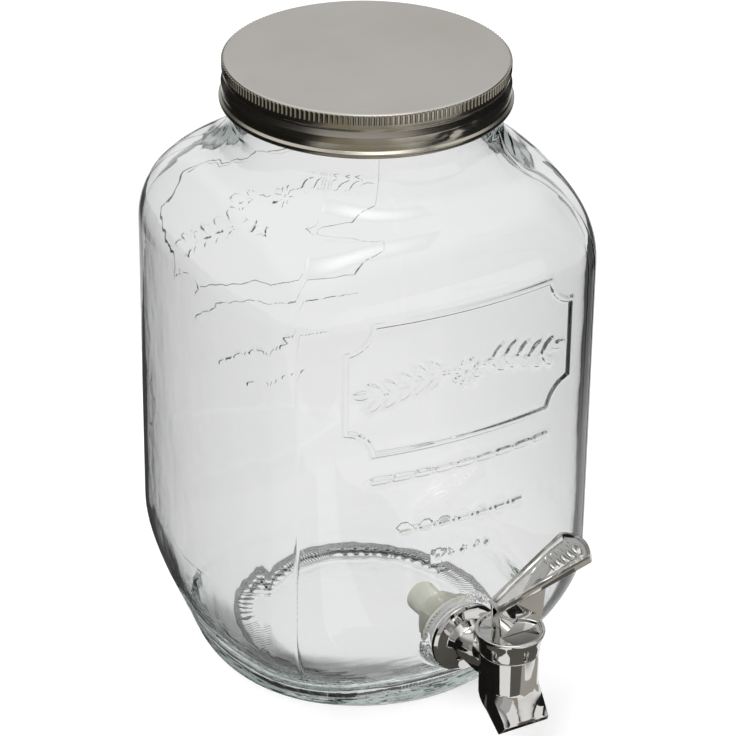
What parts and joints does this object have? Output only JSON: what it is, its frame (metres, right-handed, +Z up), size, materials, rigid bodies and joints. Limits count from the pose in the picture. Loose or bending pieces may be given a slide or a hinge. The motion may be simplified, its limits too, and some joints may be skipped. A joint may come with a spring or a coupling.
{
  "type": "glass dispenser jar with lever tap",
  "caption": "Square-shouldered clear glass dispenser jar with a knurled steel screw lid and a chromed lever tap that swivels, presses to lift its valve plug and springs shut.",
  "frame": {"origin": "jar axis at the plane of the glass bearing ring it stands on", "axes": "+Z up along the jar axis, -Y towards the tap, +X towards the lever tip in the pictured pose"},
  "size_m": [0.1606, 0.213, 0.2604],
  "materials": {
    "clear_glass": "clear soda-lime glass, fire polished",
    "lid_steel": "satin tin-plated steel sheet",
    "liner_rubber": "matt white sealing compound",
    "washer_silicone": "translucent silicone",
    "natural_plastic": "natural milky polypropylene",
    "tap_chrome": "bright chrome plating",
    "stem_plastic": "white acetal",
    "seal_rubber": "black nitrile",
    "spring_steel": "drawn stainless wire"
  },
  "bodies": {
    "jar": {"glass_jar": "clear_glass", "outer_washer": "washer_silicone", "inner_washer": "washer_silicone", "lock_nut": "natural_plastic", "tap_body": "tap_chrome", "tap_bonnet": "tap_chrome", "return_spring": "spring_steel"},
    "liner": {"lid_liner": "liner_rubber"},
    "lid": {"lid_shell": "lid_steel"},
    "plug": {"valve_plug": "washer_silicone"},
    "stem": {"valve_stem": "stem_plastic", "stem_o_ring": "seal_rubber", "lever_pin": "spring_steel"},
    "lever": {"tap_lever": "tap_chrome"}
  },
  "joints": [
    {"name": "lid_rise", "type": "slide", "parent": "jar", "child": "liner", "axis": [0, 0, 1], "range_m": [0, 0.00508]},
    {"name": "lid_turn", "type": "hinge", "parent": "liner", "child": "lid", "pos_m": [0, 0, 0.26], "axis": [0, 0, 1], "range_deg": [0, 360]},
    {"name": "plug_lift", "type": "slide", "parent": "jar", "child": "plug", "axis": [0, 0, 1], "range_m": [0, 0.00346], "stiffness_N_per_m": 120, "springref_m": -0.008, "deforming": ["return_spring"]},
    {"name": "lever_swivel", "type": "hinge", "parent": "plug", "child": "stem", "pos_m": [0, -0.117, 0.064], "axis": [0, 0, 1], "range_deg": [-200, 20]},
    {"name": "lever_press", "type": "hinge", "parent": "stem", "child": "lever", "pos_m": [0, -0.117, 0.0704], "axis": [0, 1, 0], "range_deg": [0, 36]}
  ],
  "couplings": [
    {"joint": "lid_rise", "follows": "lid_turn", "m_per_rad": 0.00080851},
    {"joint": "lever_press", "follows": "plug_lift", "rad_per_m": 181.82}
  ]
}
